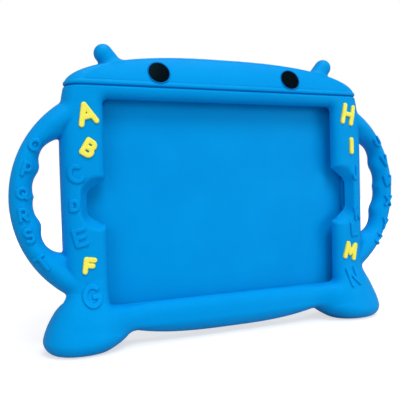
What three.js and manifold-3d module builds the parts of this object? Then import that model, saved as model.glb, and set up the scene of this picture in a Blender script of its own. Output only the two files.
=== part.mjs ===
// Kids' tablet case: one soft moulded body in the form of a round creature, with two grip
// handles, two broad feet, two stub ears and two inlaid eyes. The tablet slips into the pocket
// through the window. Millimetres, +Z up, the window looks along -Y, and the origin lies on the
// ground midway between the feet.
import * as THREE from 'three';
import { mergeVertices } from 'three/addons/utils/BufferGeometryUtils.js';
import Module from 'manifold-3d';

const wasm = await Module();
wasm.setup();

// The tablet that the case is made for
const tabletWidth = 241;
const tabletHeight = 186;
const tabletThickness = 9.4;
const tabletCorner = 9;
const fitGap = 0.5;
const depthGap = 0.1;

// Walls around the pocket
const sideWall = 13.3;
const topWall = 20;
const bottomWall = 14;
const lipThickness = 9;
const backThickness = 7.5;
const edgeRoundness = 0.97;

// Window in front of the screen, given by how far its lip covers the tablet
const lipOverSides = 18.5;
const lipOverTop = 15.9;
const lipOverBottom = 14.7;
const windowCorner = 4;
const lipRoundSides = 7;
const lipRoundTop = 9.5;

// Bays in the lip: one frees the camera at the left, one the button at the right
const bayCorner = 4;
const bayFlareAtHalfDepth = 0.42;
const cameraBay = { mouth: 19, end: 8, reach: 14, flareReach: 3.5, flareEnd: 4, flareMouth: 2 };
const buttonBay = { mouth: 25, end: 12.5, reach: 15.2, flareReach: 5.3, flareEnd: 6.5, flareMouth: 1.5 };

// Seam groove between frame and head, with a bead above it
const seamBelowPocketTop = 7;
const grooveDepth = 1.3;
const grooveHalfWidth = 0.9;
const beadHeight = 0.7;
const beadWidth = 3.4;

// Head: the outline and the side profile are both super-ellipses
const shoulderInset = 4.7;
const shoulderPower = 5;
const crownOutlinePower = 2.15;
const crownProfilePower = 1.6;
const crownLevels = 13;
const crownFlat = 0.12;

// Belly roll under the window
const rollHalfHeight = 15;
const archHalfHeight = 8.6;
const archPlace = 80;
const bellyPower = 3;

// Feet
const groundClearance = 4.5;
const footDepth = 50;
const footWidestHeight = 10;
const footOutermost = 150.8;
const footNeckOut = 129.5;
const footOuterRise = 32;
const footOuterPower = 1.4;
const footNeckDepth = 22;
const footDepthRise = 27;
const footDepthPower = 1.6;
const footInnermost = 84;
const footInnerHeight = 14;
const footInnerSole = 19;
const footInnerNeck = 20;
const soleEdge = 10.5;
const footSectionPower = 2.15;

// Handles: a thick round disc behind each side, with four finger scallops cut through it
const handleRadius = 85.1;
const handleReach = 36.8;
const handleAboveCentre = 3;
const handleThickness = 16;
const handleEdge = 8;
const gripAboveCentre = 5.4;
const middleFinger = { radius: 18, spread: 5.75, out: 2.2 };
const outerFinger = { radius: 15.3, spread: 26.6, out: -0.3 };

// Ears
const earRadius = 7.2;
const earTipOut = 99;
const earTipBelowCrown = 1;
const earRootOut = 89;
const earRootBelowCrown = 13;

// Eyes: discs laid in seats on the head's sloping front
const eyeDiameter = 17;
const eyeThickness = 2.6;
const eyeDome = 0.5;
const eyeSpread = 58.4;
const eyeAboveSeam = 11.6;
const seatGap = 0.3;

// Back: a thinner panel inside a thick rim, and the openings that the tablet needs
const backRim = 11;
const backRecess = 3.5;
const backRecessCorner = 16;
const rearCameraDiameter = 16;
const rearCameraChamfer = 3;
const rearCameraFromSide = 14;
const rearCameraFromTop = 14;
const portSlotLength = 26;
const portSlotHeight = 8;
const portSlotRoundness = 0.95;
const microphoneHoleDiameter = 3.2;

// Places that follow from the sizes above
const pocketHalfWidth = tabletWidth / 2 + fitGap;
const pocketHalfHeight = tabletHeight / 2 + fitGap;
const pocketDepth = tabletThickness + depthGap;
const pocketCentre = groundClearance + bottomWall + pocketHalfHeight;
const frameHalfDepth = (lipThickness + pocketDepth + backThickness) / 2;
const frameHalfWidth = pocketHalfWidth + sideWall;
const glassPlane = -frameHalfDepth + lipThickness;
const pocketFloor = glassPlane + pocketDepth;
const windowHalfWidth = tabletWidth / 2 - lipOverSides;
const windowTop = pocketCentre + tabletHeight / 2 - lipOverTop;
const windowBottom = pocketCentre - tabletHeight / 2 + lipOverBottom;
const rollCentre = groundClearance + rollHalfHeight;
const seamHeight = pocketCentre + pocketHalfHeight - seamBelowPocketTop;
const crownHeight = pocketCentre + pocketHalfHeight + topWall;
const headHalfWidth = frameHalfWidth - shoulderInset;
const handleCentreOut = frameHalfWidth + handleReach - handleRadius;
const throughAll = 2 * (footDepth + frameHalfDepth);

const silicone = new THREE.MeshStandardMaterial({ color: '#0a93de', roughness: 0.5, metalness: 0 });
const eyeBlack = new THREE.MeshStandardMaterial({ color: '#0a0c12', roughness: 0.45, metalness: 0 });

// Returns a solid for joining and cutting, from any closed three.js geometry.
function solidOf(geometry) {
  const bare = geometry.clone();
  bare.deleteAttribute('normal');
  bare.deleteAttribute('uv');
  const merged = mergeVertices(bare, 1e-4);
  const corners = merged.index.array;
  const triangles = [];
  for (let i = 0; i < corners.length; i += 3) {
    const [a, b, c] = [corners[i], corners[i + 1], corners[i + 2]];
    if (a !== b && b !== c && c !== a) triangles.push(a, b, c);
  }
  return new wasm.Manifold(new wasm.Mesh({
    numProp: 3,
    vertProperties: new Float32Array(merged.attributes.position.array),
    triVerts: new Uint32Array(triangles),
  }));
}

// Returns a three.js geometry from a joined and cut solid.
function geometryOf(solid) {
  const mesh = solid.getMesh();
  const geometry = new THREE.BufferGeometry();
  geometry.setAttribute('position', new THREE.BufferAttribute(mesh.vertProperties, 3));
  geometry.setIndex(new THREE.BufferAttribute(mesh.triVerts, 1));
  geometry.computeVertexNormals();
  return geometry;
}

// Skins a row of rings with equal numbers of points, and closes both ends with a fan. Each ring
// runs counter-clockwise seen from the end that the row goes to.
function loft(rings) {
  const count = rings[0].length;
  const points = rings.flat();
  const triangles = [];
  for (let row = 0; row + 1 < rings.length; row++) {
    for (let k = 0; k < count; k++) {
      const a = row * count + k;
      const b = row * count + (k + 1) % count;
      triangles.push(a, b, b + count, a, b + count, a + count);
    }
  }
  const lastRow = (rings.length - 1) * count;
  const middle = (ring) => ring.reduce((sum, p) => sum.add(p), new THREE.Vector3()).divideScalar(count);
  const startMiddle = points.push(middle(rings[0])) - 1;
  const endMiddle = points.push(middle(rings[rings.length - 1])) - 1;
  for (let k = 0; k < count; k++) {
    const next = (k + 1) % count;
    triangles.push(startMiddle, next, k, endMiddle, lastRow + k, lastRow + next);
  }
  const geometry = new THREE.BufferGeometry().setFromPoints(points);
  geometry.setIndex(triangles);
  return geometry;
}

// Points of a convex polygon whose corners are rounded by arcs, counter-clockwise.
function roundedPolygon(corners, radius, steps = 4) {
  return corners.flatMap((corner, i) => {
    const back = corners.at(i - 1).clone().sub(corner).normalize();
    const ahead = corners[(i + 1) % corners.length].clone().sub(corner).normalize();
    const halfAngle = Math.acos(THREE.MathUtils.clamp(back.dot(ahead), -1, 1)) / 2;
    const centre = back.clone().add(ahead).normalize().multiplyScalar(radius / Math.sin(halfAngle)).add(corner);
    const start = corner.clone().addScaledVector(back, radius / Math.tan(halfAngle)).sub(centre).angle();
    const turn = Math.PI - 2 * halfAngle;
    return Array.from({ length: steps + 1 }, (_, k) => {
      const angle = start + turn * k / steps;
      return new THREE.Vector2(centre.x + radius * Math.cos(angle), centre.y + radius * Math.sin(angle));
    });
  });
}

// Points of a rectangle with round corners, from its four sides.
function roundedRectangle(left, right, bottom, top, radius, steps) {
  const corners = [[right, top], [left, top], [left, bottom], [right, bottom]];
  return roundedPolygon(corners.map(([x, y]) => new THREE.Vector2(x, y)), radius, steps);
}

// Points of a super-ellipse ring.
function superEllipse(halfA, halfB, power, steps) {
  return Array.from({ length: steps }, (_, k) => {
    const angle = 2 * Math.PI * k / steps;
    const a = Math.sign(Math.cos(angle)) * Math.abs(Math.cos(angle)) ** (2 / power);
    const b = Math.sign(Math.sin(angle)) * Math.abs(Math.sin(angle)) ** (2 / power);
    return new THREE.Vector2(halfA * a, halfB * b);
  });
}

const levelRing = (points, z, x = 0) => points.map((p) => new THREE.Vector3(p.x + x, p.y, z));
const frontRing = (points, y) => points.map((p) => new THREE.Vector3(p.x, y, p.y));
const crossRing = (points, x, z) => points.map((p) => new THREE.Vector3(x, p.x, p.y + z));

// A prism through the case from one depth to another, with its outline given in front view.
function frontPrism(points, frontY, backY) {
  const outline = new THREE.Shape(points);
  const prism = new THREE.ExtrudeGeometry(outline, { depth: backY - frontY, bevelEnabled: false });
  return solidOf(prism.rotateX(Math.PI / 2).translate(0, backY, 0));
}

// Half of the frame's width, and of the head's, at a height.
function halfWidthAt(z) {
  if (z <= seamHeight) {
    const reach = Math.abs(z - pocketCentre) / (seamHeight - pocketCentre);
    return frameHalfWidth - shoulderInset * Math.min(reach, 1) ** shoulderPower;
  }
  const rise = Math.min((z - seamHeight) / (crownHeight - seamHeight), 1);
  return headHalfWidth * (1 - rise ** crownOutlinePower) ** (1 / crownOutlinePower);
}

// Half of the frame's depth, and of the head's, at a height.
function halfDepthAt(z) {
  const rise = THREE.MathUtils.clamp((z - seamHeight) / (crownHeight - seamHeight), 0, 1);
  return frameHalfDepth * (1 - rise ** crownProfilePower) ** (1 / crownProfilePower);
}

// One level of frame or head, let out or drawn in by an offset. Its ends are almost half round.
function bodyRing(z, offset = 0) {
  const halfWidth = halfWidthAt(z) + offset;
  const halfDepth = halfDepthAt(z) + offset;
  const radius = edgeRoundness * Math.min(halfDepth, halfWidth);
  return levelRing(roundedRectangle(-halfWidth, halfWidth, -halfDepth, halfDepth, radius, 6), z);
}

// Frame and head in one skin. The seam is a groove drawn in all round, under a raised bead.
function frameAndHead() {
  const rings = [];
  const frameLevels = 14;
  const frameTop = seamHeight - grooveHalfWidth;
  for (let k = 0; k <= frameLevels; k++) {
    rings.push(bodyRing(THREE.MathUtils.lerp(rollCentre, frameTop, k / frameLevels)));
  }
  rings.push(bodyRing(seamHeight, -grooveDepth));
  const beadBottom = seamHeight + grooveHalfWidth;
  const beadSteps = 4;
  for (let k = 0; k <= beadSteps; k++) {
    const along = k / beadSteps;
    rings.push(bodyRing(beadBottom + beadWidth * along, beadHeight * Math.sin(Math.PI * along)));
  }
  const beadTop = (beadBottom + beadWidth - seamHeight) / (crownHeight - seamHeight);
  const firstAngle = Math.asin(beadTop);
  for (let k = 1; k < crownLevels; k++) {
    const angle = THREE.MathUtils.lerp(firstAngle, Math.PI / 2, k / crownLevels);
    rings.push(bodyRing(THREE.MathUtils.lerp(seamHeight, crownHeight, Math.sin(angle))));
  }
  rings.push(bodyRing(crownHeight - crownFlat));
  return solidOf(loft(rings));
}

// Roll under the window. It hangs lowest in the middle and rises to an arch beside each foot.
function bellyRoll() {
  const stations = 8;
  const halfHeightAt = (x) => THREE.MathUtils.lerp(
    rollHalfHeight, archHalfHeight, Math.min(Math.abs(x) / archPlace, 1) ** bellyPower,
  );
  const end = halfWidthAt(rollCentre) - frameHalfDepth;
  const places = [-end];
  for (let k = -stations; k <= stations; k++) places.push(archPlace * k / stations);
  places.push(end);
  return solidOf(loft(places.map(
    (x) => crossRing(superEllipse(frameHalfDepth, halfHeightAt(x), 2, 32), x, rollCentre),
  )));
}

// One foot. The outer side and the depth swell downwards to the widest height, the inner side
// slopes in under the belly, and the edge rolls round onto the flat sole.
function foot(side) {
  const levels = 16;
  const top = footWidestHeight + footOuterRise - 1;
  const { clamp, lerp } = THREE.MathUtils;
  const swell = (z, height, power) => {
    const rise = clamp((z - footWidestHeight) / height, 0, 1);
    return (1 - rise ** power) ** (1 / power);
  };
  const rings = [];
  for (let k = 0; k <= levels; k++) {
    const z = top * (k / levels) ** 1.25;
    const drop = Math.max(footWidestHeight - z, 0) / footWidestHeight;
    const edge = soleEdge * (1 - Math.sqrt(1 - drop * drop));
    const outer = lerp(footNeckOut, footOutermost, swell(z, footOuterRise, footOuterPower)) - edge;
    const soleSide = footInnerSole * Math.max(1 - z / footInnerHeight, 0) ** 1.5;
    const neckSide = footInnerNeck * clamp((z - footInnerHeight) / (top - footInnerHeight), 0, 1);
    const inner = footInnermost + soleSide + neckSide;
    const halfDepth = lerp(footNeckDepth, footDepth, swell(z, footDepthRise, footDepthPower)) / 2 - edge;
    const ring = superEllipse((outer - inner) / 2, halfDepth, footSectionPower, 32);
    rings.push(levelRing(ring, z, side * (outer + inner) / 2));
  }
  return solidOf(loft(rings));
}

// A disc or a hole with a rounded rim, turned about an axis along Y. The rim swells by the
// rounding for a hole, and draws in by it for a disc.
function turned(radius, rim, overshoot, segments) {
  const half = handleThickness / 2;
  const rimSteps = 10;
  const profile = [new THREE.Vector2(0, -half - overshoot)];
  if (overshoot) profile.push(new THREE.Vector2(radius + rim, -half - overshoot));
  for (let k = 0; k <= rimSteps; k++) {
    const angle = Math.PI * (k / rimSteps - 0.5);
    profile.push(new THREE.Vector2(radius + rim * (1 - Math.cos(angle)), half * Math.sin(angle)));
  }
  if (overshoot) profile.push(new THREE.Vector2(radius + rim, half + overshoot));
  profile.push(new THREE.Vector2(0, half + overshoot));
  return new THREE.LatheGeometry(profile, segments);
}

// One handle: a disc that stands out at the frame's side, less its four finger scallops.
function handle(side) {
  const disc = turned(handleRadius, -handleEdge, 0, 88);
  let solid = solidOf(disc.translate(side * handleCentreOut, 0, pocketCentre + handleAboveCentre));
  for (const finger of [middleFinger, outerFinger]) {
    for (const upDown of [-1, 1]) {
      const scallop = turned(finger.radius, handleEdge, 1, 44);
      const z = pocketCentre + gripAboveCentre + upDown * finger.spread;
      solid = solid.subtract(solidOf(scallop.translate(side * (frameHalfWidth + finger.out), 0, z)));
    }
  }
  return solid;
}

// One ear: a stub with a round end, leaning outwards.
function ear(side) {
  const root = new THREE.Vector3(side * earRootOut, 0, crownHeight - earRootBelowCrown);
  const tip = new THREE.Vector3(side * earTipOut, 0, crownHeight - earTipBelowCrown);
  const lean = tip.clone().sub(root);
  const stub = new THREE.CapsuleGeometry(earRadius, lean.length(), 6, 24);
  stub.applyQuaternion(new THREE.Quaternion().setFromUnitVectors(
    new THREE.Vector3(0, 1, 0), lean.clone().normalize(),
  ));
  return solidOf(stub.translate(...root.add(tip).multiplyScalar(0.5)));
}

// Window opening. Its lip is rounded towards the front, and at the bottom it runs onto the roll.
function windowCut() {
  const steps = 6;
  const rings = [];
  const section = (round) => roundedRectangle(
    -windowHalfWidth - lipRoundSides * round,
    windowHalfWidth + lipRoundSides * round,
    windowBottom - (windowBottom - rollCentre) * round,
    windowTop + lipRoundTop * round,
    windowCorner * (1 + round),
    4,
  );
  rings.push(frontRing(section(0), pocketFloor));
  for (let k = 0; k <= steps; k++) {
    const angle = Math.PI / 2 * k / steps;
    rings.push(frontRing(section(1 - Math.cos(angle)), glassPlane - lipThickness * Math.sin(angle)));
  }
  rings.push(frontRing(section(1), -frameHalfDepth - beadHeight - 1));
  return solidOf(loft(rings));
}

// A bay in the lip, widening towards the front.
function bayCut(side, bay) {
  const overlap = windowCorner * 3;
  const section = (flare) => {
    const mouth = bay.mouth + bay.flareMouth * flare;
    const end = bay.end + bay.flareEnd * flare;
    const tip = windowHalfWidth + bay.reach + bay.flareReach * flare;
    const corners = [
      [windowHalfWidth - overlap, -mouth], [windowHalfWidth + 1, -mouth], [tip, -end],
      [tip, end], [windowHalfWidth + 1, mouth], [windowHalfWidth - overlap, mouth],
    ];
    const placed = corners.map(([x, z]) => new THREE.Vector2(side * x, z + pocketCentre));
    return roundedPolygon(side > 0 ? placed : placed.reverse(), bayCorner * (1 + flare), 4);
  };
  const over = 1;
  return solidOf(loft([
    frontRing(section(0), pocketFloor),
    frontRing(section(0), glassPlane),
    frontRing(section(bayFlareAtHalfDepth), glassPlane - lipThickness / 2),
    frontRing(section(1), -frameHalfDepth),
    frontRing(section(1), -frameHalfDepth - over),
  ]));
}

// Pocket for the tablet, the straight throat of the window, and the panel drawn in at the back.
function pocketCuts() {
  const pocket = roundedRectangle(
    -pocketHalfWidth, pocketHalfWidth,
    pocketCentre - pocketHalfHeight, pocketCentre + pocketHalfHeight, tabletCorner + fitGap, 6,
  );
  const throat = roundedRectangle(
    -windowHalfWidth, windowHalfWidth, windowBottom, windowTop, windowCorner, 4,
  );
  const panel = roundedRectangle(
    -pocketHalfWidth + backRim, pocketHalfWidth - backRim,
    pocketCentre - pocketHalfHeight + backRim, pocketCentre + pocketHalfHeight - backRim,
    backRecessCorner, 6,
  );
  const backPlane = frameHalfDepth;
  return [
    frontPrism(pocket, glassPlane, pocketFloor),
    frontPrism(throat, -throughAll / 2, pocketFloor),
    frontPrism(panel, backPlane - backRecess, backPlane + beadHeight + 1),
  ];
}

// Openings for the rear camera, the charging port and the microphone.
function deviceOpenings() {
  const panelPlane = frameHalfDepth - backRecess;
  const camera = new THREE.LatheGeometry([
    new THREE.Vector2(0, pocketFloor - 1),
    new THREE.Vector2(rearCameraDiameter / 2, pocketFloor - 1),
    new THREE.Vector2(rearCameraDiameter / 2, panelPlane - rearCameraChamfer / 2),
    new THREE.Vector2(rearCameraDiameter / 2 + rearCameraChamfer, frameHalfDepth),
    new THREE.Vector2(rearCameraDiameter / 2 + rearCameraChamfer, frameHalfDepth + 2),
    new THREE.Vector2(0, frameHalfDepth + 2),
  ], 32);
  camera.translate(
    -tabletWidth / 2 + rearCameraFromSide, 0, pocketCentre + tabletHeight / 2 - rearCameraFromTop,
  );
  const depthMiddle = (glassPlane + pocketFloor) / 2;
  const slotOutline = roundedRectangle(
    -portSlotHeight / 2, portSlotHeight / 2, -portSlotLength / 2, portSlotLength / 2,
    portSlotRoundness * portSlotHeight / 2, 6,
  );
  const slot = loft([pocketHalfWidth - 2, frameHalfWidth + 2].map(
    (x) => crossRing(slotOutline, x, pocketCentre),
  ));
  slot.translate(0, depthMiddle, 0);
  const hole = new THREE.CylinderGeometry(
    microphoneHoleDiameter / 2, microphoneHoleDiameter / 2, sideWall + 4, 20,
  );
  hole.rotateZ(Math.PI / 2).translate(-pocketHalfWidth - sideWall / 2, depthMiddle, pocketCentre);
  return [solidOf(camera), solidOf(slot), solidOf(hole)];
}

// Where an eye lies: a point on the head's front, and the way that the surface faces there.
function placeEye(object, side) {
  const z = seamHeight + eyeAboveSeam;
  const slope = (halfDepthAt(z + 0.1) - halfDepthAt(z - 0.1)) / 0.2;
  object.rotation.x = Math.PI - Math.atan(-slope);
  object.position.set(side * eyeSpread, -halfDepthAt(z), z);
  object.updateMatrix();
  return object;
}

// Eye disc with its axis along Y: flat back, round edge and a slightly domed face. Its face
// stands at the head's surface.
function eyeDisc() {
  const radius = eyeDiameter / 2;
  const profile = [new THREE.Vector2(0, -eyeThickness), new THREE.Vector2(radius, -eyeThickness)];
  const domeSteps = 5;
  for (let k = 0; k <= domeSteps; k++) {
    const out = radius * (1 - k / domeSteps);
    profile.push(new THREE.Vector2(out, eyeDome * (1 - (out / radius) ** 2)));
  }
  return new THREE.LatheGeometry(profile, 40);
}

function eyeSeat(side) {
  const radius = eyeDiameter / 2 + seatGap;
  const above = 6;
  const seat = new THREE.CylinderGeometry(radius, radius, eyeThickness + seatGap + above, 40);
  seat.translate(0, (above - eyeThickness - seatGap) / 2, 0);
  return solidOf(seat.applyMatrix4(placeEye(new THREE.Object3D(), side).matrix));
}

function caseBody() {
  const sides = [-1, 1];
  let body = frameAndHead().add(bellyRoll());
  for (const side of sides) body = body.add(handle(side)).add(ear(side));
  body = body.subtract(windowCut()).subtract(bayCut(-1, cameraBay)).subtract(bayCut(1, buttonBay));
  for (const side of sides) body = body.add(foot(side));
  for (const cut of [...pocketCuts(), ...deviceOpenings()]) body = body.subtract(cut);
  for (const side of sides) body = body.subtract(eyeSeat(side));
  return new THREE.Mesh(geometryOf(body), silicone);
}

const tabletCase = new THREE.Group();
tabletCase.name = 'kids_tablet_case';
const body = caseBody();
body.name = 'case_body';
tabletCase.add(body);
for (const [name, side] of [['eye_left', -1], ['eye_right', 1]]) {
  const eye = placeEye(new THREE.Mesh(eyeDisc(), eyeBlack), side);
  eye.name = name;
  tabletCase.add(eye);
}

export default tabletCase;
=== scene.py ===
import math

import bpy
import numpy as np
from mathutils import Matrix, Vector


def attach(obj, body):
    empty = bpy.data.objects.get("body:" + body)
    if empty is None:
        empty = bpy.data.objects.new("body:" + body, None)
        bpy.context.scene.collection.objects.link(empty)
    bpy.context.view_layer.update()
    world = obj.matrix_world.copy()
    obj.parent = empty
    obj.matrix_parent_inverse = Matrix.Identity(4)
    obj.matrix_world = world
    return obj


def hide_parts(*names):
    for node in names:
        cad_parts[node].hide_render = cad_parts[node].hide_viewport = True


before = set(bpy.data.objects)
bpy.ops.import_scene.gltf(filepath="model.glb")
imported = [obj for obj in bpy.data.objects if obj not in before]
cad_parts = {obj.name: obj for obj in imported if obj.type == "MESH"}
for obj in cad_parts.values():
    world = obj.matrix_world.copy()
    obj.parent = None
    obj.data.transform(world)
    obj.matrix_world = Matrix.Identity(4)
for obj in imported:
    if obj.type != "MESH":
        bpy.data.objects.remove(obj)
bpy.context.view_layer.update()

MM = 0.001

# Sizes below are in millimetres. Z is up, the window looks along -Y, and the feet stand on z = 0.

# Pocket
POCKET_Z = 112.0
POCKET_HALF_WIDTH = 121.0
POCKET_HALF_HEIGHT = 93.5
POCKET_CORNER = 9.5
POCKET_EDGE = 1.5
LIP_BACK_Y = -4.0
FLOOR_Y = 5.5
POCKET_Y = (LIP_BACK_Y + FLOOR_Y) / 2

# Frame and head
HALF_DEPTH = 13.0
HALF_WIDTH = 134.3
ROUNDNESS = 0.97
SEAM_Z = 198.5
CROWN_Z = 225.5
SHOULDER_INSET = 4.7
SHOULDER_POWER = 5
OUTLINE_POWER = 2.15
PROFILE_POWER = 1.6

# Seam groove and the bead above it
GROOVE_DEPTH = 1.1
GROOVE_HALF_WIDTH = 0.62
BEAD_START = 0.8
BEAD_WIDTH = 3.4
BEAD_HEIGHT = 0.5

# Roll under the window, and the slope from the frame's front down to it
ROLL_Z = 19.5
ROLL_HALF_HEIGHT = 15.0
ARCH_HALF_HEIGHT = 8.6
ARCH_PLACE = 80.0
ROLL_END_X = 112.0
ROLL_MIX = 7.0
SLOPE_POWER = 2.25
SLOPE_TOP_Z = 38.0
SLOPE_BACK_Y = -1.0
SLOPE_FADE_X = 86.0
SLOPE_FADE_LENGTH = 34.0
SLOPE_FADE_DEPTH = 14.0

# Feet
SOLE_ROUND = 10.0
SOLE_INSET = 10.5
FOOT_POWER = 2.15
FOOT_OUTER_X = 129.5
FOOT_SPREAD = 21.3
SPREAD_HEIGHT = 32.0
SPREAD_POWER = 1.4
SPREAD_TANGENT = 0.93
SPREAD_LEAST = -0.6
FOOT_INNER_X = 84.0
HEEL_REACH = 19.0
HEEL_HEIGHT = 14.0
HEEL_POWER = 1.5
CALF_Z = 8.0
CALF_DRIFT = 20.0
CALF_DRIFT_HEIGHT = 39.0
CALF_HEIGHT = 38.0
CALF_DEPTH = 11.0
FOOT_EXTRA_DEPTH = 14.0
CALF_POWER = 1.8
CALF_EASE = 1.4
FOOT_LEAST_WIDTH = 3.0
FOOT_END_Z = 30.0
END_FADE = 0.02

# Grip handles
HANDLE_X = 86.0
HANDLE_Z = 115.0
HANDLE_RADIUS = 85.1
GRIP_Z = 117.4
LIMB_HALF = 8.0
RIM_INSET = 0.35
TUBE_INSET = 0.7
MIDDLE_FINGER = (136.5, 5.75, 18.0)
OUTER_FINGER = (134.0, 26.6, 15.3)
ROOT_HEIGHT = 49.9
ROOT_SLOPE = 1.1
ROOT_STEEPNESS = 1.49
ROOT_INNER_X = 136.0
TUBE_START = 34.0
TUBE_THICK = (6.3, 9.3, 14.0)
TUBE_DEEP = (8.7, 11.8, 22.0)

# Stub ears
EAR_X = 89.0
EAR_Z = 212.5
EAR_LEAN = 10.0
EAR_RISE = 12.0
EAR_RADIUS = 7.15

# Window and its lip
WINDOW_HALF_WIDTH = 102.0
WINDOW_TOP = 189.1
WINDOW_BOTTOM = 33.7
WINDOW_CORNER = 4.0
FLOOR_GAP = 2.0
LIP = 9.0
LOW_LIP = 2.6
LIP_START = 38.0
LIP_LENGTH = 46.0

# Bays in the lip: half height at mouth and end, reach at the back, reach and half height in front
BAY_Z = 111.4
LEFT_BAY = (17.0, 9.0, 116.3, 122.5, 19.8)
RIGHT_BAY = (23.6, 12.8, 117.1, 122.0, 25.7)
BAY_WALL = 1.2
BAY_MOST_FLARE = 1.2
BAY_FRONT_X = 104.0
BAY_INNER_X = 90.0
BAY_POWER = 3
BAY_FRONT_SCALE = 20.0

# Back panel and the small openings
PANEL_MARGIN = 11.0
PANEL_CORNER = 16.0
PANEL_INSET = 3.5
REAR_HOLE_X = -106.5
REAR_HOLE_Z = 191.0
REAR_HOLE_RADIUS = 8.0
REAR_CHAMFER = 3.0
SLOT_HALF_DEPTH = 4.0
SLOT_HALF_HEIGHT = 13.0
SLOT_CORNER = 3.8
MICROPHONE_RADIUS = 1.6
WALL_INNER_X = 119.0
WALL_OUTER_X = 136.3

# Eyes
EYE_X = 58.4
EYE_Z = 210.1
EYE_RADIUS = 8.5
EYE_EDGE = 0.4
EYE_DOME = 0.55
EYE_TOP = 0.2
EYE_BACK = -2.6
RIM_RADIUS = 8.9
RIM_HALF_WIDTH = 0.5
RIM_HALF_HEIGHT = 0.42
POLE = 0.001

# Raised letters
RELIEF = 1.5
YELLOW_RELIEF = 1.7
LETTER_EDGE = 1.1
LETTER_SINK = 0.8
LETTER_GRID = 0.42
HANDLE_FROM_X = 135.0

# The tint of light mirrored by the silicone
SHEEN_TINT = (0.05, 0.7, 1.0, 1)


def soft_min(a, b, width):
    """The lower of two distances; where they differ by less than width, less
    (width - |a - b|)^2 / (4 width)."""
    near = np.maximum(width - np.abs(a - b), 0.0)
    return np.minimum(a, b) - near * near / (4.0 * width)


def soft_max(a, b, width):
    """The higher of two distances, rounded in the same way."""
    return -soft_min(-a, -b, width)


def blend(a, b, t):
    """a + (b - a) t, with t held between 0 and 1."""
    return a + (b - a) * np.clip(t, 0.0, 1.0)


def eased(a, b, t):
    """a + (b - a) t^2 (3 - 2 t), with t held between 0 and 1, which starts and ends level."""
    t = np.clip(t, 0.0, 1.0)
    return a + (b - a) * t * t * (3.0 - 2.0 * t)


def true_length(form):
    """Divides a form's value by the length of its gradient, so that it counts as a distance near
    the surface."""
    step = 0.4
    flattest = 0.6
    steepest = 6.0

    def measured(x, y, z):
        here = form(x, y, z)
        gx = form(x + step, y, z) - here
        gy = form(x, y + step, z) - here
        gz = form(x, y, z + step) - here
        return here / np.clip(np.sqrt(gx * gx + gy * gy + gz * gz) / step, flattest, steepest)

    return measured


def plate(u, v, half_u, half_v, corner):
    """Distance in a plane to a rectangle with round corners, centred on 0."""
    qu = np.abs(u) - half_u + corner
    qv = np.abs(v) - half_v + corner
    outside = np.hypot(np.maximum(qu, 0.0), np.maximum(qv, 0.0))
    return outside + np.minimum(np.maximum(qu, qv), 0.0) - corner


def half_width(z):
    """Half the width of frame and head at height z: a shoulder of power 5, then a super-ellipse up
    to the crown."""
    reach = np.minimum(np.abs(z - POCKET_Z) / (SEAM_Z - POCKET_Z), 1.0)
    rise = np.clip((z - SEAM_Z) / (CROWN_Z - SEAM_Z), 0.0, 1.0)
    head = (HALF_WIDTH - SHOULDER_INSET) * (1.0 - rise**OUTLINE_POWER) ** (1 / OUTLINE_POWER)
    return np.where(z <= SEAM_Z, HALF_WIDTH - SHOULDER_INSET * reach**SHOULDER_POWER, head)


def half_depth(z):
    """Half the depth of frame and head at height z: constant up to the seam, then a super-ellipse
    up to the crown."""
    rise = np.clip((z - SEAM_Z) / (CROWN_Z - SEAM_Z), 0.0, 1.0)
    return HALF_DEPTH * (1.0 - rise**PROFILE_POWER) ** (1 / PROFILE_POWER)


def seam_offset(z):
    """How far the skin stands in or out at height z: a groove of bell-shaped section at the seam,
    and half a sine wave just above it as a bead."""
    groove = -GROOVE_DEPTH * np.exp(-(((z - SEAM_Z) / GROOVE_HALF_WIDTH) ** 2))
    along = np.clip((z - SEAM_Z - BEAD_START) / BEAD_WIDTH, 0.0, 1.0)
    return groove + BEAD_HEIGHT * np.sin(math.pi * along)


@true_length
def torso(x, y, z):
    """Frame and head: at each height a rectangle with almost half-round ends, let out or drawn in
    at the seam."""
    offset = seam_offset(z)
    wide = half_width(z) + offset
    deep = half_depth(z) + offset
    corner = ROUNDNESS * np.minimum(wide, deep)
    return plate(x, y, wide, deep, np.maximum(corner, 0.0)) + np.maximum(z - CROWN_Z, 0.0)


def belly(x, y, z):
    """Roll under the window: an ellipse in y and z whose height shrinks with the cube of |x|
    towards the feet, and which fades out inside them."""
    high = blend(ROLL_HALF_HEIGHT, ARCH_HALF_HEIGHT, np.minimum(np.abs(x) / ARCH_PLACE, 1.0) ** 3)
    near = np.hypot(y / HALF_DEPTH, (z - ROLL_Z) / high)
    steep = np.hypot(y / HALF_DEPTH**2, (z - ROLL_Z) / high**2)
    fade = END_FADE * np.maximum(np.abs(x) - ROLL_END_X, 0.0) ** 2
    return near * (near - 1.0) / np.maximum(steep, 1e-4) + fade


def slope_cut(x, y, z):
    """What is taken off the frame's front under the window: all that lies outside a super-ellipse
    of power 2.25 round the roll, below a level and in front of a plane. Beside the window it fades
    out with an eased step in |x|."""
    across = np.abs(y) / HALF_DEPTH
    up = np.abs(z - ROLL_Z) / ROLL_HALF_HEIGHT
    roll = ((across**SLOPE_POWER + up**SLOPE_POWER) ** (1 / SLOPE_POWER) - 1.0) * HALF_DEPTH
    cut = np.maximum(np.maximum(-roll, z - SLOPE_TOP_Z), y - SLOPE_BACK_Y)
    return cut + eased(0.0, SLOPE_FADE_DEPTH, (np.abs(x) - SLOPE_FADE_X) / SLOPE_FADE_LENGTH)


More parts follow.
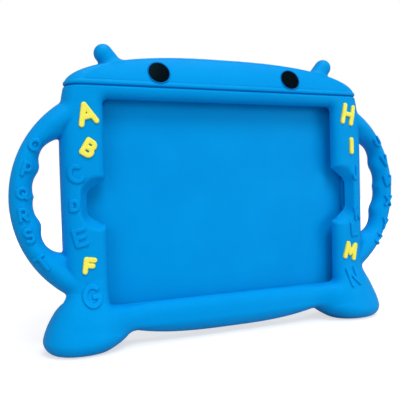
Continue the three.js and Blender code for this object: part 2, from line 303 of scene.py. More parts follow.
def swell(z):
    """1 at the foot's widest level and below, falling as a super-ellipse towards 0 above it. Over
    the last part it runs on along its tangent, so that the foot ends inside the frame without a
    step."""
    rise = np.clip((z - SOLE_ROUND) / SPREAD_HEIGHT, 0.0, 2.0)
    near = np.minimum(rise, SPREAD_TANGENT)
    left = 1.0 - near**SPREAD_POWER
    tangent = near ** (SPREAD_POWER - 1.0) * left ** (1.0 / SPREAD_POWER - 1.0)
    return np.maximum(left ** (1.0 / SPREAD_POWER) - tangent * (rise - near), SPREAD_LEAST)


@true_length
def foot(x, y, z):
    """Both feet: super-ellipse sections of power 2.15 in x and y. Their outer side follows the
    swell, their inner side curls in at the heel, and the sole's edge is a quarter circle."""
    drop = np.clip((SOLE_ROUND - z) / SOLE_ROUND, 0.0, 1.0)
    edge = SOLE_INSET * (1.0 - np.sqrt(1.0 - drop * drop))
    outer = FOOT_OUTER_X + FOOT_SPREAD * swell(z) - edge
    heel = np.maximum(1.0 - np.maximum(z, 0.0) / HEEL_HEIGHT, 0.0)
    inner = FOOT_INNER_X + HEEL_REACH * heel**HEEL_POWER
    inner = inner + eased(0.0, CALF_DRIFT, (z - CALF_Z) / CALF_DRIFT_HEIGHT)
    rise = np.clip((z - CALF_Z) / CALF_HEIGHT, 0.0, 1.0)
    deep = CALF_DEPTH + FOOT_EXTRA_DEPTH * (1.0 - rise**CALF_POWER) ** CALF_EASE - edge
    wide = np.maximum((outer - inner) / 2.0, FOOT_LEAST_WIDTH)
    u = np.abs(np.abs(x) - (outer + inner) / 2.0) / wide
    v = np.abs(y) / deep
    section = (u**FOOT_POWER + v**FOOT_POWER) ** (1 / FOOT_POWER) - 1.0
    return section * np.minimum(wide, deep)


def finger(u, away, place):
    """Distance to the finger circles of one pair, above and below the grip's middle, drawn larger
    by the limb's half thickness."""
    across, height, radius = place
    return np.hypot(u - across, away - height) - (radius + LIMB_HALF)


def handle(x, y, z):
    """Both handles: all points within 8 mm of a flat core, which is a disc less its finger circles
    and the wedge at its root, joined with a round tube along the rim that grows thicker towards
    the frame."""
    u = np.abs(x)
    away = np.abs(z - GRIP_Z)
    ring = np.hypot(u - HANDLE_X, z - HANDLE_Z)
    fingers = soft_min(finger(u, away, MIDDLE_FINGER), finger(u, away, OUTER_FINGER), 5.0)
    wedge = (away - ROOT_HEIGHT + ROOT_SLOPE * (u - OUTER_FINGER[0])) / ROOT_STEEPNESS
    inside = soft_min(fingers, soft_max(wedge, u - ROOT_INNER_X, 3.0), 3.0)
    core = soft_max(ring - HANDLE_RADIUS + LIMB_HALF + RIM_INSET, -inside, 2.0)
    flat = np.where(core > 0.0, np.hypot(core, y), np.maximum(np.abs(y), core)) - LIMB_HALF
    thick = eased(TUBE_THICK[0], TUBE_THICK[1], (away - TUBE_START) / TUBE_THICK[2])
    deep = eased(TUBE_DEEP[0], TUBE_DEEP[1], (away - TUBE_START) / TUBE_DEEP[2])
    section = np.hypot((ring - HANDLE_RADIUS + thick + TUBE_INSET) / thick, y / deep)
    return soft_min(flat, (section - 1.0) * thick, 2.0)


def ear(x, y, z):
    """Both ears: all points within the ear's radius of a short line that leans outwards."""
    u = np.abs(x) - EAR_X
    v = z - EAR_Z
    along = (EAR_LEAN * u + EAR_RISE * v) / (EAR_LEAN**2 + EAR_RISE**2)
    along = np.clip(along, 0.0, 1.0)
    return np.sqrt((u - EAR_LEAN * along) ** 2 + y * y + (v - EAR_RISE * along) ** 2) - EAR_RADIUS


def window(x, y, z):
    """Window opening: a straight-sided rectangle from the front to just before the pocket's
    floor."""
    middle = (WINDOW_TOP + WINDOW_BOTTOM) / 2.0
    half_height = (WINDOW_TOP - WINDOW_BOTTOM) / 2.0
    outline = plate(x, z - middle, WINDOW_HALF_WIDTH, half_height, WINDOW_CORNER)
    return np.maximum(outline, y - FLOOR_Y + FLOOR_GAP)


def bay(u, y, z, mouth, end, tip, front_tip, front_high):
    """A scoop in the lip: six-sided at the pocket, a super-ellipse of power 3 at the front,
    and between them the two forms mixed in proportion to the depth."""
    flare = np.clip((LIP_BACK_Y - BAY_WALL - y) / (LIP - BAY_WALL), 0.0, BAY_MOST_FLARE)
    up = np.abs(z - BAY_Z)
    slant_out = mouth - end
    slant_up = tip - WINDOW_HALF_WIDTH - 1.0
    slant = (u - WINDOW_HALF_WIDTH - 1.0) * slant_out + (up - mouth) * slant_up
    slant = slant / np.hypot(slant_out, slant_up)
    sides = soft_max(soft_max(slant, u - tip, 4.0), up - mouth, 2.0)
    out = np.maximum((u - BAY_FRONT_X) / (front_tip - BAY_FRONT_X), 0.0)
    front = (out**BAY_POWER + (up / front_high) ** BAY_POWER) ** (1 / BAY_POWER) - 1.0
    mix = (1.0 - flare) * sides + flare * front * BAY_FRONT_SCALE
    return np.maximum(np.maximum(mix, BAY_INNER_X - u), y - FLOOR_Y + FLOOR_GAP)


@true_length
def left_bay(x, y, z):
    """The smaller bay, at the left."""
    return bay(-x, y, z, *LEFT_BAY)


@true_length
def right_bay(x, y, z):
    """The larger bay, at the right."""
    return bay(x, y, z, *RIGHT_BAY)


def pocket(x, y, z):
    """The pocket: a rounded rectangle between the back of the lip and the floor."""
    outline = plate(x, z - POCKET_Z, POCKET_HALF_WIDTH, POCKET_HALF_HEIGHT, POCKET_CORNER)
    return soft_max(outline, np.abs(y - POCKET_Y) - (FLOOR_Y - LIP_BACK_Y) / 2, POCKET_EDGE)


def back_panel(x, y, z):
    """What is taken off the back, so that the middle of it is a thinner panel."""
    half_wide = POCKET_HALF_WIDTH - PANEL_MARGIN
    half_high = POCKET_HALF_HEIGHT - PANEL_MARGIN
    outline = plate(x, z - POCKET_Z, half_wide, half_high, PANEL_CORNER)
    return soft_max(outline, HALF_DEPTH - PANEL_INSET - y, 2.0)


def small_openings(x, y, z):
    """Rear camera hole with a chamfer, charging slot at the right and microphone hole at the
    left."""
    wider = REAR_CHAMFER * np.clip((y - 8.0) / 5.0, 0.0, 1.0)
    hole = np.hypot(x - REAR_HOLE_X, z - REAR_HOLE_Z) - REAR_HOLE_RADIUS - wider
    hole = soft_max(hole, 4.5 - y, 0.5)
    slot = plate(y - POCKET_Y, z - POCKET_Z, SLOT_HALF_DEPTH, SLOT_HALF_HEIGHT, SLOT_CORNER)
    slot = np.maximum(slot, np.maximum(WALL_INNER_X - x, x - WALL_OUTER_X))
    microphone = np.hypot(y - POCKET_Y, z - POCKET_Z) - MICROPHONE_RADIUS
    microphone = np.maximum(microphone, np.maximum(-WALL_OUTER_X - x, x + WALL_INNER_X))
    return np.minimum(hole, np.minimum(slot, microphone))


def ankle_fillet(x, y, z):
    """Width of the fillet between foot and frame: 2 mm at the sole and 17 mm higher up, but 2 mm at
    any height at the back of the outer side."""
    beside = eased(1.0, 0.0, (128.0 - np.abs(x)) / 14.0)
    ankle = 1.0 - beside * eased(1.0, 0.0, -y / 7.0)
    return 2.0 + 15.0 * ankle * eased(0.0, 1.0, (z - 6.0) / 20.0)


def case(x, y, z):
    """The whole moulded body: forms joined with fillets, then cut with soft edges. The last number
    of each join or cut is how wide it is rounded."""
    upper = soft_max(torso(x, y, z), -slope_cut(x, y, z), 2.5)
    lower = belly(x, y, z)
    upper = lower + (upper - lower) * eased(0.0, 1.0, (z - ROLL_Z + ROLL_MIX) / ROLL_MIX)
    upper = soft_min(upper, ear(x, y, z), 3.5)
    upper = soft_min(upper, handle(x, y, z), 1.8)
    legs = foot(x, y, z) + END_FADE * np.maximum(z - FOOT_END_Z, 0.0) ** 2
    whole = soft_min(upper, legs, ankle_fillet(x, y, z))
    opening = window(x, y, z)
    outwards = np.abs(x) - WINDOW_HALF_WIDTH + z - WINDOW_BOTTOM
    lip = eased(LOW_LIP, LIP, (outwards + LIP_START) / LIP_LENGTH)
    whole = soft_max(whole, -opening, lip)
    whole = soft_max(whole, -left_bay(x, y, z), 1.5)
    whole = soft_max(whole, -right_bay(x, y, z), 1.5)
    cuts = np.minimum(pocket(x, y, z), np.maximum(opening, LIP_BACK_Y - 0.5 - y))
    whole = soft_max(whole, -cuts, 0.6)
    whole = soft_max(whole, -back_panel(x, y, z), 1.6)
    whole = soft_max(whole, -small_openings(x, y, z), 0.9)
    return soft_max(whole, -z, 1.2)


def spaced(*spans):
    """Grid lines from spans of (start, end, spacing)."""
    lines = []
    for start, end, spacing in spans:
        count = max(int(round((end - start) / spacing)), 1)
        lines.append(np.linspace(start, end, count, endpoint=False))
    return np.append(np.concatenate(lines), spans[-1][1])


def slope(form, points):
    """A form's value and gradient at points, by one step of 0.02 mm along each axis."""
    step = 0.02
    x, y, z = points.T
    here = form(x, y, z)
    ahead = (form(x + step, y, z), form(x, y + step, z), form(x, y, z + step))
    return here, np.stack([(a - here) / step for a in ahead], axis=1)


def skin(form, xs, ys, zs, rounds=3):
    """Closed skin of the set where form < 0. Each grid cell that the surface crosses gets one
    point, at the mean of the crossings on its edges, and each crossed edge gets one four-sided
    face. Then every point slides along the gradient onto the surface."""
    axes = (xs, ys, zs)
    value = form(xs[:, None, None], ys[None, :, None], zs[None, None, :])
    inside = value < 0.0
    cells = tuple(len(a) - 1 for a in axes)
    total = np.zeros((cells[0] * cells[1] * cells[2], 4))
    faces = []
    for axis in range(3):
        low = [slice(None)] * 3
        high = [slice(None)] * 3
        low[axis] = slice(None, -1)
        high[axis] = slice(1, None)
        place = np.nonzero(inside[tuple(low)] != inside[tuple(high)])
        first = value[tuple(low)][place]
        second = value[tuple(high)][place]
        share = first / (first - second)
        points = np.stack([axes[k][place[k]] for k in range(3)], axis=1).astype(float)
        points[:, axis] += share * (axes[axis][place[axis] + 1] - axes[axis][place[axis]])
        side = (axis + 1) % 3
        other = (axis + 2) % 3
        ring = []
        for back_side, back_other in ((0, 0), (1, 0), (1, 1), (0, 1)):
            cell = [p.copy() for p in place]
            cell[side] -= back_side
            cell[other] -= back_other
            index = (cell[0] * cells[1] + cell[1]) * cells[2] + cell[2]
            for k in range(3):
                total[:, k] += np.bincount(index, points[:, k], minlength=len(total))
            total[:, 3] += np.bincount(index, minlength=len(total))
            ring.append(index)
        quads = np.stack(ring, axis=1)
        turned = first > 0.0
        quads[turned] = quads[turned][:, ::-1]
        faces.append(quads)
    used = np.nonzero(total[:, 3])[0]
    number = np.zeros(len(total), dtype=np.int64)
    number[used] = np.arange(len(used))
    points = total[used, :3] / total[used, 3:]
    quads = number[np.concatenate(faces)]
    reach = 0.5 * min(np.diff(a).min() for a in axes)
    for _ in range(rounds):
        here, steep = slope(form, points)
        move = here[:, None] * steep / np.maximum((steep**2).sum(axis=1), 0.05)[:, None]
        length = np.linalg.norm(move, axis=1)[:, None]
        points = points - move * np.minimum(1.0, reach / np.maximum(length, 1e-9))
    return points, quads


def piece(name, points, quads, material, slot_name):
    """A shown object from points in millimetres and four-sided faces, with its place in its
    mesh."""
    mesh = bpy.data.meshes.new(name)
    mesh.vertices.add(len(points))
    mesh.vertices.foreach_set("co", (points * MM).astype(np.float32).ravel())
    mesh.loops.add(quads.size)
    mesh.loops.foreach_set("vertex_index", quads.astype(np.int32).ravel())
    mesh.polygons.add(len(quads))
    mesh.polygons.foreach_set("loop_start", np.arange(0, quads.size, 4, dtype=np.int32))
    mesh.update(calc_edges=True)
    mesh.validate()
    mesh.polygons.foreach_set("use_smooth", np.ones(len(mesh.polygons), dtype=bool))
    mesh.materials.append(material)
    made = bpy.data.objects.new(name, mesh)
    bpy.context.scene.collection.objects.link(made)
    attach(made, "root")
    return made


def bent(made, form, points, reach=1.4, less=0.0):
    """Keeps on each point how the surface bends there, as the attribute "bend": above 0.5 on outer
    edges and below it in hollows. It is the form's mean over six neighbours less its own value,
    scaled; less is taken off where a piece meets another, as painted shade along the join."""
    strength = 1.6
    x, y, z = points.T
    mean = form(x + reach, y, z) + form(x - reach, y, z)
    mean = mean + form(x, y + reach, z) + form(x, y - reach, z)
    mean = mean + form(x, y, z + reach) + form(x, y, z - reach)
    bend = mean / 6.0 - form(x, y, z)
    layer = made.data.attributes.new("bend", "FLOAT", "POINT")
    value = np.clip(0.5 + bend * strength - less, 0.0, 1.0)
    layer.data.foreach_set("value", value.astype(np.float32))


def material_base(name, colour, roughness):
    """A material with its nodes, shader and object coordinates ready."""
    material = bpy.data.materials.new(name)
    material.use_nodes = True
    nodes = material.node_tree.nodes
    shader = nodes["Principled BSDF"]
    shader.inputs["Base Color"].default_value = colour
    shader.inputs["Roughness"].default_value = roughness
    place = nodes.new("ShaderNodeTexCoord")
    return material, nodes, material.node_tree.links, shader, place


def noise(nodes, links, place, scale, detail=3.0):
    """A noise on object coordinates."""
    texture = nodes.new("ShaderNodeTexNoise")
    texture.inputs["Scale"].default_value = scale
    texture.inputs["Detail"].default_value = detail
    texture.inputs["Roughness"].default_value = 0.55
    links.new(place.outputs["Object"], texture.inputs["Vector"])
    return texture.outputs["Fac"]


def ranged(nodes, links, source, from_low, from_high, to_low, to_high):
    """A value carried from one range to another and held inside it."""
    node = nodes.new("ShaderNodeMapRange")
    node.inputs["From Min"].default_value = from_low
    node.inputs["From Max"].default_value = from_high
    node.inputs["To Min"].default_value = to_low
    node.inputs["To Max"].default_value = to_high
    links.new(source, node.inputs["Value"])
    return node.outputs["Result"]


def mixed(nodes, links, share, low, high):
    """A colour between two, by share. Each of the two is a colour or a node's output."""
    node = nodes.new("ShaderNodeMix")
    node.data_type = "RGBA"
    links.new(share, node.inputs["Factor"])
    for socket, colour in ((node.inputs["A"], low), (node.inputs["B"], high)):
        if isinstance(colour, tuple):
            socket.default_value = colour
        else:
            links.new(colour, socket)
    return node.outputs["Result"]


def joined(nodes, links, operation, first, second):
    """The result of a sum, product or the like of two outputs."""
    node = nodes.new("ShaderNodeMath")
    node.operation = operation
    links.new(first, node.inputs[0])
    links.new(second, node.inputs[1])
    return node.outputs["Value"]


def bumped(nodes, links, height, strength, distance):
    """A bump node driven by a height, in metres."""
    node = nodes.new("ShaderNodeBump")
    node.inputs["Strength"].default_value = strength
    node.inputs["Distance"].default_value = distance
    links.new(height, node.inputs["Height"])
    return node


def silicone(name, shade, body, light, wear_and_highlight, shine, roughness):
    """Soft moulded silicone: slow colour drift, paler outer edges in patches (partly wear,
    partly painted highlight), painted shade in hollows, a fine matt grain in the bump and
    patches that are a little glossier."""
    material, nodes, links, shader, place = material_base(name, body, roughness)
    shader.inputs["Specular IOR Level"].default_value = shine
    shader.inputs["Specular Tint"].default_value = SHEEN_TINT
    bend = nodes.new("ShaderNodeAttribute")
    bend.attribute_name = "bend"
    bend = bend.outputs["Fac"]
    drift = ranged(nodes, links, noise(nodes, links, place, 22.0), 0.3, 0.7, 0.0, 1.0)
    patchy = noise(nodes, links, place, 160.0, 4.0)
    colour = mixed(nodes, links, drift, body, light)
    # Painted shade: where the bend is low, in hollows and creases, the colour goes towards the
    # shade colour.
    hollow_shade = ranged(nodes, links, bend, 0.22, 0.5, 1.0, 0.0)
    colour = mixed(nodes, links, hollow_shade, colour, shade)
    # Paler outer edges, where the bend is high, in patches: partly wear, partly painted highlight.
    edge = ranged(nodes, links, bend, 0.58, 0.95, 0.0, 0.55)
    patches = ranged(nodes, links, patchy, 0.35, 0.62, 0.35, 1.0)
    colour = mixed(nodes, links, joined(nodes, links, "MULTIPLY", edge, patches), colour, wear_and_highlight)
    links.new(colour, shader.inputs["Base Color"])
    gloss = ranged(nodes, links, patchy, 0.3, 0.7, roughness - 0.05, roughness + 0.07)
    links.new(gloss, shader.inputs["Roughness"])
    fine = bumped(nodes, links, noise(nodes, links, place, 1900.0, 2.0), 0.22, 0.00012)
    broad = bumped(nodes, links, noise(nodes, links, place, 240.0, 2.0), 0.16, 0.00035)
    links.new(fine.outputs["Normal"], broad.inputs["Normal"])
    links.new(broad.outputs["Normal"], shader.inputs["Normal"])
    return material


blue = silicone(
    "blue_skin",
    shade=(0.0, 0.17, 0.55, 1),
    body=(0.0, 0.29, 0.735, 1),
    light=(0.0002, 0.315, 0.775, 1),
    wear_and_highlight=(0.006, 0.42, 0.84, 1),
    shine=0.15,
    roughness=0.46,
)
yellow = silicone(
    "yellow_skin",
    shade=(0.75, 0.6, 0.03, 1),
    body=(0.95, 0.87, 0.09, 1),
    light=(0.98, 0.9, 0.12, 1),
    wear_and_highlight=(1.0, 0.95, 0.42, 1),
    shine=0.2,
    roughness=0.42,
)
black = silicone(
    "black_skin",
    shade=(0.001, 0.002, 0.004, 1),
    body=(0.0035, 0.005, 0.008, 1),
    light=(0.006, 0.008, 0.012, 1),
    wear_and_highlight=(0.012, 0.015, 0.022, 1),
    shine=0.05,
    roughness=0.4,
)

# The moulded body, in two skins that meet inside the seam groove, where each runs a little way
# into the other
SKIN_OVERLAP = 0.15


def frame_form(x, y, z):
    """The body up to the seam groove's middle."""
    return soft_max(case(x, y, z), z - SEAM_Z - SKIN_OVERLAP, 0.1)


def head_form(x, y, z):
    """The body from the seam groove's middle upwards."""
    return soft_max(case(x, y, z), SEAM_Z - SKIN_OVERLAP - z, 0.1)


def body_skin(name, form, xs, ys, zs):
    """One skin of the body, shown instead of the solid."""
    points, quads = skin(form, xs, ys, zs)
    made = piece(name, points, quads, blue, "blue_silicone")
    bent(made, case, points)
    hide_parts("case_body")


body_skin(
    "frame_skin",
    frame_form,
    spaced((-173, -96, 1.2), (-96, 96, 3.6), (96, 173, 1.2)),
    spaced((-27, -15, 1.4), (-15, -3, 0.8), (-3, 4, 1.4), (4, 15, 1.1), (15, 27, 1.5)),
    spaced((-2, 2, 0.8), (2, 44, 1.25), (44, 84, 1.4), (84, 139, 1.0), (139, 186, 1.4),
           (186, 196, 1.0), (196, 200, 0.4)),
)
body_skin(
    "head_skin",
    head_form,
    spaced((-132, -80, 0.9), (-80, 80, 1.8), (80, 132, 0.9)),
    spaced((-15, 15, 0.75)),
    spaced((197.4, 204, 0.4), (204, 233, 0.8)),
)


def eye_frame(side):
    """Where an eye lies: its middle on the head's sloping front, and the axes right, up the slope
    and outwards."""
    behind = -(half_depth(np.array(EYE_Z + 0.1)) - half_depth(np.array(EYE_Z - 0.1))) / 0.2
    outwards = np.array([0.0, -1.0, float(behind)])
    outwards /= np.linalg.norm(outwards)
    right = np.array([1.0, 0.0, 0.0])
    up = np.cross(right, outwards)
    middle = np.array([side * EYE_X, -float(half_depth(np.array(EYE_Z))), EYE_Z])
    return middle, right, up, outwards


def turned(side, profile, closed, rounds=72):
    """A profile of (radius, height) carried round the eye's axis, and its four-sided faces. Closed
    joins the profile's last row to its first."""
    middle, right, up, outwards = eye_frame(side)
    radius, height = np.array(profile).T
    angle = np.linspace(0.0, 2.0 * math.pi, rounds, endpoint=False)
    u = radius[:, None] * np.cos(angle)
    v = radius[:, None] * np.sin(angle)
    points = middle + u[..., None] * right + v[..., None] * up
    points = points + height[:, None, None] * outwards
    rows = len(profile)
    row = np.arange(rows if closed else rows - 1)[:, None]
    turn = np.arange(rounds)[None, :]
    after = (row + 1) % rows * rounds
    following = (turn + 1) % rounds
    row = row * rounds
    corners = (row + turn, row + following, after + following, after + turn)
    quads = np.stack([c.ravel() for c in np.broadcast_arrays(*corners)], axis=1)
    return points.reshape(-1, 3), quads


def eye_profile():
    """The disc: a low dome, a rounded edge, a straight side and a flat back."""
    flat = EYE_RADIUS - EYE_EDGE
    dome = [(flat * t + POLE, EYE_TOP + EYE_DOME - EYE_DOME * t * t)
            for t in np.linspace(0.0, 1.0, 14)]
    edge = [(flat + EYE_EDGE * math.sin(a), EYE_EDGE * math.cos(a) - EYE_TOP)
            for a in np.linspace(0.3, math.pi / 2, 6)]
    return dome + edge + [(EYE_RADIUS, -1.2), (EYE_RADIUS, EYE_BACK), (POLE, EYE_BACK)]


def rim_profile():
    """The thin raised ring of the body round the disc: a small ellipse."""
    angles = np.linspace(0.0, 2.0 * math.pi, 20, endpoint=False)
    return [(RIM_RADIUS + RIM_HALF_WIDTH * math.cos(a), RIM_HALF_HEIGHT * math.sin(a))
            for a in angles]


for side, word in ((-1, "left"), (1, "right")):
    eye = piece("eye_disc_" + word, *turned(side, eye_profile(), False), black, "black_silicone")
    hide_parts("eye_" + word)
    piece("eye_rim_" + word, *turned(side, rim_profile(), True), blue, "blue_silicone")


def arc(cu, cv, ru, rv, start, end, count=11):
    """Points of an ellipse's arc, from one angle to another in degrees."""
    angle = np.radians(np.linspace(start, end, count))
    return list(zip(cu + ru * np.cos(angle), cv + rv * np.sin(angle)))


# Strokes of the plain alphabet, in a square from -1 to 1
UPRIGHT = [(-1, -1), (-1, 1)]
BOWL = UPRIGHT + [(0.2, 1)] + arc(0.2, 0.42, 0.8, 0.58, 90, -90) + [(-1, -0.16)]
STROKES = {
    "A": [[(-1, -1), (0, 1), (1, -1)], [(-0.6, -0.3), (0.6, -0.3)]],
    "B": [UPRIGHT + [(0.1, 1)] + arc(0.1, 0.5, 0.75, 0.5, 90, -90) + [(-1, 0)],
          [(-1, 0), (0.2, 0)] + arc(0.2, -0.5, 0.8, 0.5, 90, -90) + [(-1, -1)]],
    "C": [arc(0, 0, 1, 1, 48, 312, 19)],
    "D": [UPRIGHT + [(-0.1, 1)] + arc(-0.1, 0, 1.1, 1, 90, -90, 15) + [(-1, -1)]],
    "E": [[(1, 1), (-1, 1), (-1, -1), (1, -1)], [(-1, 0), (0.75, 0)]],
    "F": [[(1, 1), (-1, 1), (-1, -1)], [(-1, 0.05), (0.7, 0.05)]],
    "G": [arc(0, 0, 1, 1, 48, 345, 21) + [(1, -0.1), (0.2, -0.1)]],
    "H": [UPRIGHT, [(1, -1), (1, 1)], [(-1, 0), (1, 0)]],
    "I": [[(0, -1), (0, 1)]],
    "J": [[(1, 1), (1, -0.35)] + arc(0, -0.35, 1, 0.65, 0, -170)],
    "K": [UPRIGHT, [(1, 1), (-1, -0.1)], [(-0.3, 0.28), (1, -1)]],
    "L": [[(-1, 1), (-1, -1), (1, -1)]],
    "M": [[(-1, -1), (-0.85, 1), (0, -0.4), (0.85, 1), (1, -1)]],
    "N": [UPRIGHT + [(1, -1), (1, 1)]],
    "O": [arc(0, 0, 1, 1, 0, 360, 25)],
    "P": [BOWL],
    "Q": [arc(0, 0, 1, 1, 0, 360, 25), [(0.2, -0.3), (1, -1.1)]],
    "R": [BOWL, [(0, -0.16), (1, -1)]],
    "S": [arc(0, 0.5, 0.95, 0.5, 35, 270, 13) + arc(0, -0.5, 1, 0.5, 90, -150, 13)],
    "T": [[(-1, 1), (1, 1)], [(0, 1), (0, -1)]],
    "U": [[(-1, 1), (-1, -0.2)] + arc(0, -0.2, 1, 0.8, 180, 360, 13) + [(1, 1)]],
    "V": [[(-1, 1), (0, -1), (1, 1)]],
    "W": [[(-1, 1), (-0.55, -1), (0, 0.5), (0.55, -1), (1, 1)]],
    "X": [[(-1, -1), (1, 1)], [(-1, 1), (1, -1)]],
    "Y": [[(-1, 1), (0, 0), (1, 1)], [(0, 0), (0, -1)]],
    "Z": [[(-1, 1), (1, 1), (-1, -1), (1, -1)]],
}

# Each letter's middle in x and z, the width and height that its strokes' middle lines span, its
# lean to the left in degrees, and the stroke's width
LETTERS = {
    "A": (-115.8, 176.9, 11.5, 13.4, 15, 4.1),
    "B": (-114.8, 151.8, 6.6, 10.3, -31, 3.8),
    "C": (-124.6, 133.2, 9.2, 11.2, 20, 3.6),
    "D": (-126.5, 110.1, 4.7, 6.7, 0, 3.2),
    "E": (-123.2, 86.8, 7.3, 11.0, 13.5, 3.5),
    "F": (-117.1, 65.5, 6.0, 9.0, -8, 3.9),
    "G": (-116.1, 43.6, 11.4, 13.6, 5, 3.8),
    "H": (115.6, 182.0, 8.8, 14.7, -11.5, 4.0),
    "I": (118.8, 154.3, 2.0, 11.0, 0, 4.0),
    "J": (122.8, 130.6, 3.2, 11.0, -2, 2.8),
    "K": (124.3, 94.0, 4.6, 9.5, 5, 3.0),
    "L": (120.2, 80.0, 4.6, 10.0, 5, 3.0),
    "M": (115.8, 60.9, 9.3, 12.0, -13.5, 3.9),
    "N": (115.5, 38.6, 7.8, 13.6, 9.5, 3.2),
    "O": (-152.2, 154.4, 7.0, 7.0, -35, 3.0),
    "P": (-158.1, 137.1, 5.0, 9.0, -18, 2.9),
    "Q": (-162.1, 120.4, 6.6, 6.6, -5, 2.9),
    "R": (-161.9, 104.9, 5.0, 8.0, 5, 2.9),
    "S": (-158.5, 89.9, 5.2, 9.3, 18, 2.9),
    "T": (-149.9, 69.5, 7.2, 10.5, 35, 2.9),
    "U": (151.2, 158.4, 4.8, 7.6, 35, 2.7),
    "V": (159.3, 141.0, 4.8, 8.5, 20, 2.7),
    "W": (162.6, 122.5, 6.2, 8.0, 5, 2.7),
    "X": (162.9, 104.0, 5.6, 8.0, -5, 2.7),
    "Y": (158.6, 82.8, 5.2, 8.5, -20, 2.7),
    "Z": (150.3, 69.5, 5.4, 7.6, -35, 2.7),
}
YELLOW = "ABFHIM"


def letter_lines(letter):
    """The middle lines of a letter's strokes in x and z: sized, leaned and put in their place."""
    across, height, wide, high, lean = LETTERS[letter][:5]
    cos = math.cos(math.radians(lean))
    sin = math.sin(math.radians(lean))
    lines = []
    for line in STROKES[letter]:
        u, v = np.array(line).T * np.array([[wide / 2.0], [high / 2.0]])
        lines.append(np.stack([across + u * cos - v * sin, height + u * sin + v * cos], axis=1))
    return lines


def letter_form(letter, lines):
    """Raised letter: within half a stroke of its middle lines in front view, and from 0.8 mm under
    the case's skin to its relief over it, with a round upper edge."""
    across = LETTERS[letter][0]
    stroke = LETTERS[letter][5]
    behind = 6.0 if abs(across) < HANDLE_FROM_X else 2.0
    relief = YELLOW_RELIEF if letter in YELLOW else RELIEF

    def form(x, y, z):
        near = None
        for line in lines:
            for (ax, az), (bx, bz) in zip(line[:-1], line[1:]):
                ex = bx - ax
                ez = bz - az
                along = ((x - ax) * ex + (z - az) * ez) / max(ex * ex + ez * ez, 1e-9)
                along = np.clip(along, 0.0, 1.0)
                away = np.hypot(x - ax - along * ex, z - az - along * ez)
                near = away if near is None else np.minimum(near, away)
        under = case(x, y, z)
        raised = soft_max(near - stroke / 2.0, under - relief, LETTER_EDGE)
        raised = np.maximum(raised, -LETTER_SINK - under)
        return np.maximum(raised, y + behind)

    return form


def letter_front(letter):
    """Where a letter's grid starts in y: in front of the frame, the handle or the foot."""
    across, height = LETTERS[letter][:2]
    if height < 50.0:
        return -24.0
    return -17.0 if abs(across) < HANDLE_FROM_X else -15.0


for letter in LETTERS:
    lines = letter_lines(letter)
    form = letter_form(letter, lines)
    margin = LETTERS[letter][5] / 2.0 + 1.0
    low = np.concatenate(lines).min(0) - margin
    high = np.concatenate(lines).max(0) + margin
    xs = spaced((low[0], high[0], LETTER_GRID))
    ys = spaced((letter_front(letter), -1.0, LETTER_GRID))
    zs = spaced((low[1], high[1], LETTER_GRID))
    points, quads = skin(form, xs, ys, zs)
    colour, slot_name = (yellow, "yellow_silicone") if letter in YELLOW else (blue, "blue_silicone")
    made = piece("letter_" + letter, points, quads, colour, slot_name)
    # Painted shade at each letter's foot: the bend is lowered within 0.9 mm of the case's skin, so
    # the letter darkens where it meets the case.
    root = np.clip(1.0 - case(*points.T) / 0.9, 0.0, 1.0)
    bent(made, form, points, 0.7, root * 0.22)

# Floor: pale grey that only the camera sees as nearly white, so that it keeps a soft shadow
bpy.ops.mesh.primitive_plane_add(size=6.0, location=(0, 0, 0))
floor = bpy.context.object
floor.name = "studio_floor"
material, nodes, links, shader, place = material_base("studio_floor", (0.5, 0.5, 0.5, 1), 0.9)
shader.inputs["Specular IOR Level"].default_value = 0.0
path = nodes.new("ShaderNodeLightPath")
drift = noise(nodes, links, place, 3.0)
floor_colour = mixed(nodes, links, drift, (0.5, 0.5, 0.5, 1), (0.52, 0.52, 0.52, 1))
links.new(floor_colour, shader.inputs["Base Color"])
shader.inputs["Emission Color"].default_value = (1, 1, 1, 1)
away = nodes.new("ShaderNodeVectorMath")
away.operation = "LENGTH"
links.new(place.outputs["Object"], away.inputs[0])
glow = ranged(nodes, links, away.outputs["Value"], 0.25, 1.2, 0.62, 0.95)
glow = joined(nodes, links, "MULTIPLY", glow, path.outputs["Is Camera Ray"])
links.new(glow, shader.inputs["Emission Strength"])
floor.data.materials.append(material)

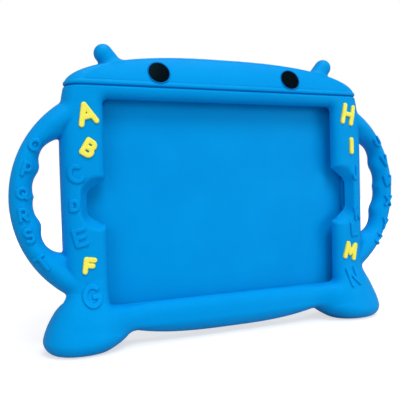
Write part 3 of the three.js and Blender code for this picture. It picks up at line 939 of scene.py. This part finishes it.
# World: soft cool light, white for the camera
world = bpy.data.worlds.new("studio")
world.use_nodes = True
bpy.context.scene.world = world
nodes = world.node_tree.nodes
links = world.node_tree.links
backdrop = nodes["Background"]
path = nodes.new("ShaderNodeLightPath")
straight = path.outputs["Is Camera Ray"]
through = path.outputs["Is Transmission Ray"]
seen = joined(nodes, links, "MAXIMUM", straight, through)
world_colour = mixed(nodes, links, seen, (0.84, 0.9, 1.0, 1), (1, 1, 1, 1))
links.new(world_colour, backdrop.inputs["Color"])
links.new(ranged(nodes, links, seen, 0.0, 1.0, 0.3, 1.0), backdrop.inputs["Strength"])


def softbox(name, place, target, size, watts):
    """A square area lamp that looks at a point, in metres."""
    lamp = bpy.data.lights.new(name, "AREA")
    lamp.size = size
    lamp.energy = watts
    holder = bpy.data.objects.new(name, lamp)
    holder.location = place
    holder.rotation_euler = (Vector(target) - Vector(place)).to_track_quat("-Z", "Y").to_euler()
    bpy.context.scene.collection.objects.link(holder)


softbox("key_light", (0.0, -3.4, 4.4), (0, 0, 0.1), 2.0, 128.0)
softbox("fill_light", (-3.4, -3.6, 1.8), (0, 0, 0.1), 2.4, 52.0)
softbox("low_light", (2.4, -4.0, 0.7), (0, 0, 0.1), 2.4, 66.0)
softbox("top_light", (0.3, -0.4, 5.4), (0, 0, 0.15), 2.4, 84.0)

# Camera at the photo's viewing angle: turns about z, x and y round the middle of the window, and
# then a shift
FOCAL_PIXELS = 553.4
PICTURE_WIDTH = 400.0
SENSOR = 36.0
turn = Matrix.Rotation(math.radians(-1.58), 3, "Y") @ Matrix.Rotation(math.radians(1.9), 3, "X")
turn = turn @ Matrix.Rotation(math.radians(22.3), 3, "Z")
shift = Vector((0.02295, 0.4576, 0.0070))
eye_point = -(turn.transposed() @ shift) + Vector((0.0, -0.004, 0.112))
lens = bpy.data.cameras.new("photo_camera")
lens.sensor_width = SENSOR
lens.lens = FOCAL_PIXELS / PICTURE_WIDTH * SENSOR
lens.shift_x = 0.00125
lens.shift_y = 0.015
lens.clip_start = 0.01
camera = bpy.data.objects.new("photo_camera", lens)
axes = Matrix((turn[0], turn[2], -turn[1])).transposed().to_4x4()
camera.matrix_world = Matrix.Translation(eye_point) @ axes
bpy.context.scene.collection.objects.link(camera)
bpy.context.scene.camera = camera
bpy.context.scene.view_settings.view_transform = "Standard"

bpy.context.view_layer.update()
